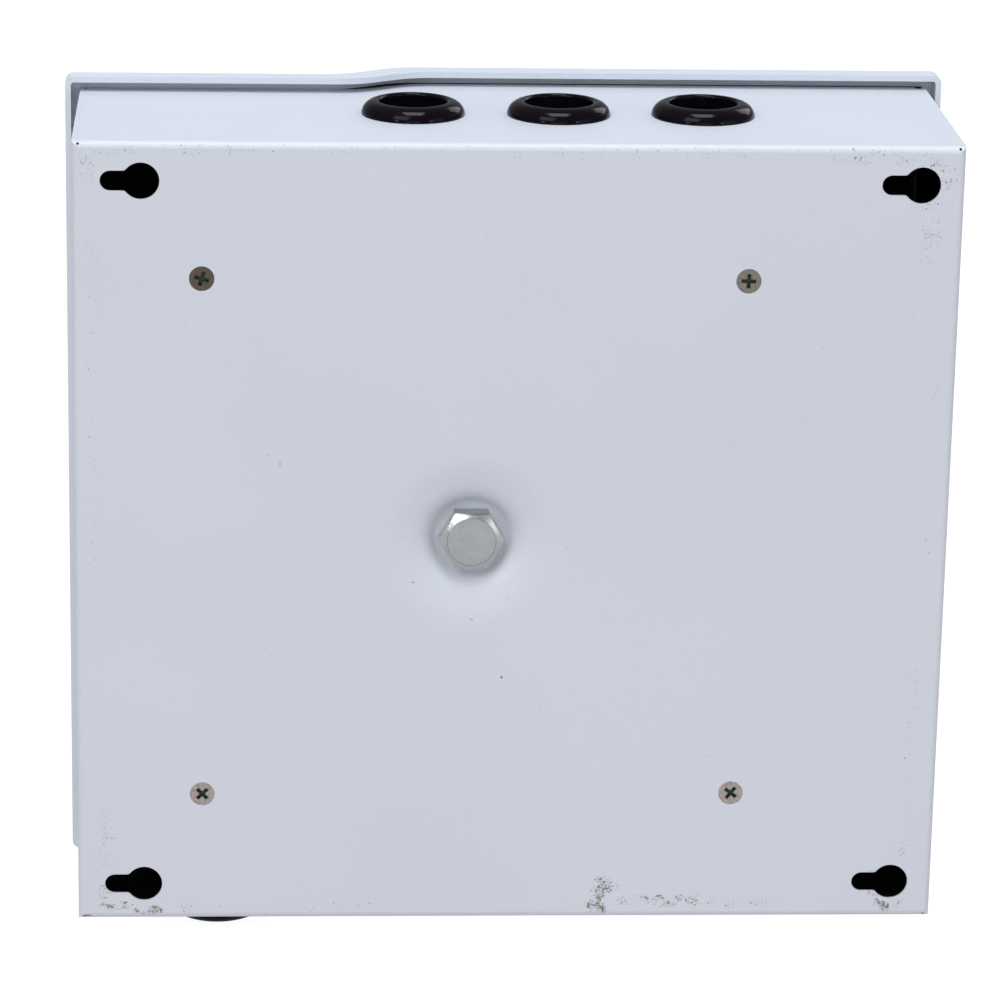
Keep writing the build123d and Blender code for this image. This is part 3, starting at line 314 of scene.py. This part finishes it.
# ---- shader helpers ------------------------------------------------------------------------------
class Shader:
    """A Principled material and short ways to add the nodes that feed it."""

    def __init__(self, name, **sockets):
        self.material = bpy.data.materials.new(name)
        self.material.use_nodes = True
        self.nodes = self.material.node_tree.nodes
        self.links = self.material.node_tree.links
        self.bsdf = self.nodes["Principled BSDF"]
        for socket, value in sockets.items():
            self.bsdf.inputs[socket.replace("_", " ")].default_value = value
        self.place = self.nodes.new("ShaderNodeTexCoord").outputs["Object"]

    def link(self, source, target):
        """Link an output, or set a plain value."""
        if isinstance(source, (int, float, tuple)):
            target.default_value = source
        else:
            self.links.new(source, target)

    def math(self, operation, a, b=0.0):
        """Math node on numbers or outputs."""
        node = self.nodes.new("ShaderNodeMath")
        node.operation = operation
        for value, socket in zip((a, b), node.inputs):
            self.link(value, socket)
        return node.outputs[0]

    def product(self, a, b):
        """Product of numbers or outputs."""
        return self.math("MULTIPLY", a, b)

    def noise(self, scale, detail=3.0, roughness=0.5, stretch=None):
        """Noise in the object's own space; scale is per metre."""
        node = self.nodes.new("ShaderNodeTexNoise")
        node.inputs["Scale"].default_value = scale
        node.inputs["Detail"].default_value = detail
        node.inputs["Roughness"].default_value = roughness
        self.links.new(self.stretched(stretch), node.inputs["Vector"])
        return node.outputs["Fac"]

    def stretched(self, stretch):
        """Object coordinates, scaled along each axis where stretch is given."""
        if stretch is None:
            return self.place
        node = self.nodes.new("ShaderNodeMapping")
        node.inputs["Scale"].default_value = stretch
        self.links.new(self.place, node.inputs["Vector"])
        return node.outputs["Vector"]

    def ramp(self, value, low, high, to_low=0.0, to_high=1.0):
        """Smooth step from one range to another."""
        node = self.nodes.new("ShaderNodeMapRange")
        node.interpolation_type = "SMOOTHSTEP"
        for socket, number in zip(node.inputs[1:5], (low, high, to_low, to_high)):
            socket.default_value = number
        self.link(value, node.inputs[0])
        return node.outputs[0]

    def patches(self, scale, detail, low, high, to_low=0.0, to_high=1.0):
        """Noise as soft patches, from one level of the noise to another."""
        return self.ramp(self.noise(scale, detail), low, high, to_low, to_high)

    def mix(self, factor, a, b):
        """Colour mix."""
        node = self.nodes.new("ShaderNodeMix")
        node.data_type = "RGBA"
        self.link(factor, node.inputs[0])
        for value, socket in ((a, node.inputs[6]), (b, node.inputs[7])):
            if isinstance(value, tuple):
                value = (*value, 1.0)
            self.link(value, socket)
        return node.outputs[2]

    def axes(self):
        """X, Y and Z of the object's own space."""
        node = self.nodes.new("ShaderNodeSeparateXYZ")
        self.links.new(self.place, node.inputs[0])
        return node.outputs

    def facing(self):
        """X, Y and Z of the surface normal in the object's own space."""
        normal = self.nodes.new("ShaderNodeTexCoord").outputs["Normal"]
        node = self.nodes.new("ShaderNodeSeparateXYZ")
        self.links.new(normal, node.inputs[0])
        return node.outputs

    def bump(self, height, distance, strength):
        """Bump of a distance in metres."""
        node = self.nodes.new("ShaderNodeBump")
        node.inputs["Distance"].default_value = distance
        node.inputs["Strength"].default_value = strength
        self.links.new(height, node.inputs["Height"])
        self.links.new(node.outputs[0], self.bsdf.inputs["Normal"])

    def set(self, socket, value):
        """Feed a socket of the shader."""
        self.link(value, self.bsdf.inputs[socket])


def scaled(colour, factor):
    """Lighter or darker colour."""
    return tuple(c * factor for c in colour)


def sum_of_squares(s, a, b):
    """Sum of two squares."""
    return s.math("ADD", s.product(a, a), s.product(b, b))


def within_walls(s, x, z, margin):
    """1 at more than a margin inside the box's outline."""
    in_x = s.math("LESS_THAN", s.math("ABSOLUTE", x), HALF_W - margin)
    in_z = s.math("LESS_THAN", s.math("ABSOLUTE", z), HALF_H - margin)
    return s.product(in_x, in_z)


# ---- painted box ---------------------------------------------------------------------------------
def blot(s, x, z, place, half, strength):
    """Soft patch on the back sheet; place and half sizes are (x, z) in millimetres."""
    dx = s.product(s.math("SUBTRACT", x, place[0] * MM), 1 / (half[0] * MM))
    dz = s.product(s.math("SUBTRACT", z, place[1] * MM), 1 / (half[1] * MM))
    return s.ramp(sum_of_squares(s, dx, dz), 0.1, 1.6, strength, 0.0)


def most(s, spots):
    """Strongest of several patches."""
    total = spots[0]
    for spot in spots[1:]:
        total = s.math("MAXIMUM", total, spot)
    return total


def dirt(s, x, z, on_back):
    """How much handling dirt covers the paint: ragged specks in the smears, and lone marks."""
    amount = most(s, [blot(s, x, z, *smear) for smear in SMEARS])
    cloud = s.patches(230, 2, 0.38, 0.60)
    amount = s.product(amount, s.math("ADD", s.product(cloud, 0.75), 0.25))
    lift = s.product(amount, SPECK_LIFT)
    coarse = s.ramp(s.math("ADD", s.noise(1300, 3, 0.6), lift), 0.69, 0.74, 0.0, 0.85)
    fine = s.ramp(s.math("ADD", s.noise(3200, 2), lift), 0.72, 0.77, 0.0, 0.7)
    specks = s.math("MAXIMUM", coarse, fine)
    marks = most(s, [blot(s, x, z, *mark) for mark in MARKS])
    marks = s.product(marks, s.patches(900, 2, 0.30, 0.45))
    return s.product(s.math("MAXIMUM", specks, marks), on_back)


def inside_box(s, x, y, z):
    """1 on the unlit inner faces of the box and on the cut faces of its holes."""
    in_y = s.math("LESS_THAN", y, -BOX_SKIN)
    off_x = s.math("SUBTRACT", x, BOLT_X)
    off_z = s.math("SUBTRACT", z, BOLT_Z)
    clear = s.math("GREATER_THAN", sum_of_squares(s, off_x, off_z), DISH_CLEAR**2)
    return s.product(within_walls(s, x, z, BOX_SKIN), s.product(in_y, clear))


def painted_steel():
    """Fine-textured powder coat with handling dirt on the back sheet."""
    s = Shader("box_paint", Roughness=0.42, Specular_IOR_Level=0.35)
    x, y, z = s.axes()
    on_back = s.ramp(y, *DIRT_DEPTH)
    paint = s.mix(s.patches(9, 2, 0.3, 0.7), scaled(PAINT, 0.985), scaled(PAINT, 1.015))
    stain = s.mix(s.patches(500, 2, 0.35, 0.65), *DIRT_TONES)
    dirty = s.mix(dirt(s, x, z, on_back), paint, stain)
    s.set("Base Color", s.mix(inside_box(s, x, y, z), dirty, UNLIT))
    s.bump(s.noise(1600, 2, 0.6), 0.03 * MM, 0.35)
    return s.material


# ---- cover, door and card ------------------------------------------------------------------------
def unlit_cover(s):
    """1 on the cover's inner faces and bosses, behind its front and outside its breaker pan."""
    x, y, z = s.axes()
    faces_wall = s.math("GREATER_THAN", s.facing()[1], 0.5)
    limit = s.ramp(x, STEP_X - MM, STEP_X, COVER_FRONT + COVER_SKIN, RECESS_FRONT + COVER_SKIN)
    behind = s.math("GREATER_THAN", y, limit)
    off_x = s.math("ABSOLUTE", s.math("SUBTRACT", x, PAN_MID_X))
    beside = s.math("GREATER_THAN", off_x, PAN_HALF_W)
    above = s.math("GREATER_THAN", s.math("ABSOLUTE", z), PAN_HALF_H)
    outside = s.math("MAXIMUM", beside, above)
    hidden = s.math("MAXIMUM", faces_wall, s.product(behind, outside))
    return s.product(within_walls(s, x, z, COVER_MARGIN), hidden)


def cover_plastic():
    """Satin moulded plastic of the cover, dark where no light gets in."""
    s = Shader("cover_plastic", Roughness=0.36, Specular_IOR_Level=0.45)
    colour = s.mix(s.patches(6, 2, 0.3, 0.7), *COVER_TONES)
    s.set("Base Color", s.mix(unlit_cover(s), colour, UNLIT))
    s.bump(s.noise(2400, 2, 0.6), 0.015 * MM, 0.3)
    return s.material


def tinted_door():
    """Smoke-tinted clear plastic."""
    s = Shader("door_tint", Roughness=0.08, Alpha=0.30)
    s.set("Base Color", s.mix(s.patches(12, 2, 0.3, 0.7), *DOOR_TONES))
    return s.material


def printed_card():
    """White card with ruled lines and a margin."""
    s = Shader("card", Roughness=0.55)
    x, y, z = s.axes()
    row = s.math("PINGPONG", s.math("SUBTRACT", z, CARD_LOW[2]), CARD_ROW / 2)
    line = s.ramp(s.math("ABSOLUTE", row), *RULE_FADE, 1.0, 0.0)
    margin = s.math("ABSOLUTE", s.math("SUBTRACT", x, CARD_LOW[0] + CARD_MARGIN))
    ruled = s.math("MAXIMUM", line, s.ramp(margin, *RULE_FADE, 1.0, 0.0))
    fibre = s.mix(s.patches(900, 3, 0.3, 0.7), *CARD_TONES)
    s.set("Base Color", s.mix(s.product(ruled, 0.8), fibre, CARD_RULE))
    s.bump(s.noise(2600, 2), 0.01 * MM, 0.3)
    return s.material


# ---- plastics and metals -------------------------------------------------------------------------
def grommet_plastic():
    """Glossy black bush plastic."""
    s = Shader("grommet_black", Specular_IOR_Level=0.12)
    s.set("Base Color", s.mix(s.patches(60, 2, 0.35, 0.7), *GROMMET_TONES))
    s.set("Roughness", s.patches(300, 3, 0.3, 0.8, 0.09, 0.18))
    return s.material


def plain_plastic(name, colour, roughness):
    """Moulded plastic with a faint grain."""
    s = Shader(name, Roughness=roughness)
    s.set("Base Color", s.mix(s.patches(40, 3, 0.3, 0.7), scaled(colour, 0.94), colour))
    s.bump(s.noise(2000, 2), 0.02 * MM, 0.25)
    return s.material


def brushed(name, colour, roughness):
    """Machined metal with fine marks."""
    s = Shader(name, Metallic=1.0)
    marks = s.noise(900, 3, 0.6, stretch=(0.15, 1, 1))
    s.set("Base Color", s.mix(s.ramp(marks, 0.3, 0.7), scaled(colour, 0.85), colour))
    s.set("Roughness", s.ramp(marks, 0.25, 0.75, roughness * 0.8, roughness * 1.3))
    return s.material


def zinc_plate():
    """Bright zinc plating with a cloudy finish."""
    s = Shader("zinc", Metallic=1.0)
    s.set("Base Color", s.mix(s.ramp(s.noise(260, 4, 0.6), 0.3, 0.7), *ZINC_TONES))
    s.set("Roughness", s.patches(420, 4, 0.3, 0.75, 0.24, 0.42))
    s.bump(s.noise(1500, 3), 0.02 * MM, 0.4)
    return s.material


def bolt_plating_and_painted_light():
    """Zinc of the bolt's head with painted light: painted shade in a fine ring round its face, on
    its top bevel and on its top side, and painted highlights on its upper bevels.
    """
    s = Shader("bolt_zinc_and_painted_light", Metallic=1.0)
    x, y, z = s.axes()
    off_x = s.math("SUBTRACT", x, BOLT_X)
    off_z = s.math("SUBTRACT", z, BOLT_Z)
    radius = s.math("SQRT", sum_of_squares(s, off_x, off_z))
    face = s.mix(s.ramp(s.noise(170, 3, 0.55), 0.3, 0.7), *BOLT_FACE_TONES)
    bevel = s.ramp(radius, FACE_R, FACE_R + BEVEL_FADE)
    # painted highlight on the upper bevels
    bright = s.ramp(off_z, *BEVEL_HIGHLIGHT_Z)
    colour = s.mix(s.product(bevel, bright), face, BOLT_BEVEL_HIGHLIGHT)
    # painted shade along the top bevel
    near_top = s.ramp(off_z, HEX_AF / 2 - TOP_BEVEL_SHADE_FAR, HEX_AF / 2 - TOP_BEVEL_SHADE_NEAR)
    colour = s.mix(s.product(s.product(near_top, bevel), 0.7), colour, BOLT_TOP_BEVEL_SHADE)
    # painted shade on the head's up-facing side
    colour = s.mix(s.math("GREATER_THAN", s.facing()[2], 0.9), colour, BOLT_TOP_SIDE_SHADE)
    # painted shade in a fine ring at the face's edge
    edge = s.math("ABSOLUTE", s.math("SUBTRACT", radius, FACE_R))
    ring = s.ramp(edge, *RING_SHADE_FADE, 0.4, 0.0)
    colour = s.mix(s.product(ring, s.ramp(y, *RING_SHADE_DEPTH)), colour, BOLT_RING_SHADE)
    s.set("Base Color", colour)
    s.set("Roughness", s.patches(420, 3, 0.3, 0.75, 0.26, 0.34))
    return s.material


def rear_screw_metal():
    """Tarnished countersunk heads, browner at the top, with thread lock in the recesses."""
    s = Shader("nickel", Metallic=1.0)
    x, y, z = s.axes()
    upper = s.ramp(z, -SCREW_FADE, SCREW_FADE)
    towards_x = s.ramp(x, SCREW_MID_X - SCREW_FADE, SCREW_MID_X + SCREW_FADE)
    head = s.mix(upper, NICKEL, s.mix(towards_x, *BROWN_TONES))
    mottle = s.ramp(s.noise(900, 4, 0.7), 0.35, 0.65)
    head = s.mix(s.product(mottle, 0.5), head, TARNISH)
    deep = s.ramp(y, *RECESS_DEPTH, 1.0, 0.0)
    s.set("Base Color", s.mix(deep, head, THREAD_LOCK))
    s.set("Metallic", s.math("SUBTRACT", 1.0, deep))
    s.set("Roughness", s.ramp(mottle, 0, 1, 0.3, 0.45))
    return s.material


def dress(material, *names):
    """Give CAD nodes one material."""
    for name in names:
        mesh = NODES[name].data
        mesh.materials.clear()
        mesh.materials.append(material)


def dress_all():
    """Material of every CAD node but the grommets."""
    dress(painted_steel(), "enclosure_box")
    dress(cover_plastic(), "front_cover")
    dress(bolt_plating_and_painted_light(), "centre_bolt")
    dress(zinc_plate(), *ZINC_NODES)
    dress(rear_screw_metal(), "rear_screws")
    dress(printed_card(), "directory_card")
    dress(tinted_door(), "door")
    for name, colour, roughness, nodes in METALS:
        dress(brushed(name, colour, roughness), *nodes)
    for name, colour, roughness, nodes in PLASTICS:
        dress(plain_plastic(name, colour, roughness), *nodes)


# ---- grommets ------------------------------------------------------------------------------------
def grommet_profile():
    """Radius and height of a domed bush, from its bore's inner end over the crown to its neck."""
    crown_r = GROMMET_BORE_R + GROMMET_LIP_R
    points = [(GROMMET_BORE_R, -GROMMET_DEPTH)]
    for step in range(GROMMET_STEPS + 1):
        turn = pi / 2 * step / GROMMET_STEPS
        points.append((crown_r - GROMMET_LIP_R * cos(turn),
                       GROMMET_H - GROMMET_LIP_R * (1 - sin(turn))))
    for step in range(1, GROMMET_STEPS + 1):
        turn = pi / 2 * (1 - step / GROMMET_STEPS)
        points.append((crown_r + (GROMMET_FLANGE_R - crown_r) * cos(turn),
                       GROMMET_H * sin(turn)))
    points += [(GROMMET_NECK_R, 0.0), (GROMMET_NECK_R, -GROMMET_DEPTH)]
    return points


def turned(name, profile, sides):
    """Smooth mesh of a closed profile that is turned round Z."""
    count = len(profile)
    verts = []
    faces = []
    for side in range(sides):
        angle = 2 * pi * side / sides
        verts += [(r * cos(angle), r * sin(angle), z) for r, z in profile]
        here = side * count
        there = (side + 1) % sides * count
        for i in range(count):
            j = (i + 1) % count
            faces.append((there + i, there + j, here + j, here + i))
    mesh = bpy.data.meshes.new(name)
    mesh.from_pydata(verts, [], faces)
    mesh.polygons.foreach_set("use_smooth", [True] * len(faces))
    mesh.set_sharp_from_angle(angle=GROMMET_SHARP)
    return mesh


def add_grommet(node, material):
    """Turned bush in place of a CAD grommet on the top wall."""
    low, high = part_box(node)
    centre = ((low[0] + high[0]) / 2, (low[1] + high[1]) / 2, HALF_H)
    mesh = turned(node + "_bush", grommet_profile(), GROMMET_SIDES)
    mesh.materials.append(material)
    bush = bpy.data.objects.new(node + "_bush", mesh)
    bush.matrix_world = Matrix.Translation(centre)
    bpy.context.scene.collection.objects.link(bush)
    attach(bush, "root")
    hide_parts(node)


def add_grommets():
    """Turned bushes on the top wall; the bottom grommet keeps its CAD shape."""
    plastic = grommet_plastic()
    dress(plastic, "cable_grommet_bottom")
    for node in sorted(n for n in NODES if n.startswith("cable_grommet_top")):
        add_grommet(node, plastic)


# ---- printed numbers -----------------------------------------------------------------------------
def lettering(name, words, height, place, material):
    """Thin printed characters that face the front."""
    curve = bpy.data.curves.new(name, "FONT")
    curve.body = words
    curve.size = height
    curve.align_x = "CENTER"
    curve.align_y = "CENTER"
    curve.extrude = PRINT_T
    outline = bpy.data.objects.new(name + "_outline", curve)
    bpy.context.scene.collection.objects.link(outline)
    bpy.context.view_layer.update()
    graph = bpy.context.evaluated_depsgraph_get()
    mesh = bpy.data.meshes.new_from_object(outline.evaluated_get(graph))
    bpy.data.objects.remove(outline)
    mesh.materials.clear()
    mesh.materials.append(material)
    piece = bpy.data.objects.new(name, mesh)
    piece.matrix_world = Matrix.Translation(place) @ Matrix.Rotation(pi / 2, 4, "X")
    bpy.context.scene.collection.objects.link(piece)
    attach(piece, "root")


def add_numbers():
    """Ratings and on and off marks on the breakers, and the card's row numbers."""
    ink = plain_plastic("ink", INK, 0.5)
    for node in sorted(BREAKER_BODIES):
        low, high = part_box(node)
        middle = (low[2] + high[2]) / 2
        axis = (low[0] + high[0]) / 2
        face = low[1] - PRINT_T
        rating = "63" if node.startswith("main") else "16"
        lettering(node + "_rating", rating, RATING_SIZE, (axis - RATING_OFF, face, middle), ink)
        lettering(node + "_marks", "I 0", MARKS_SIZE, (axis + RATING_OFF, face, middle), ink)
    for row in range(CARD_ROWS):
        height = CARD_LOW[2] + (row + 0.5) * CARD_ROW
        place = (CARD_LOW[0] + CARD_MARGIN / 2, CARD_LOW[1] - PRINT_T, height)
        number = str(CARD_ROWS - row)
        lettering(f"card_number_{row + 1}", number, ROW_NUMBER_SIZE, place, ink)


add_camera()
add_lights()
add_floor()
dress_all()
add_grommets()
add_numbers()
bpy.context.scene.view_settings.view_transform = "Standard"
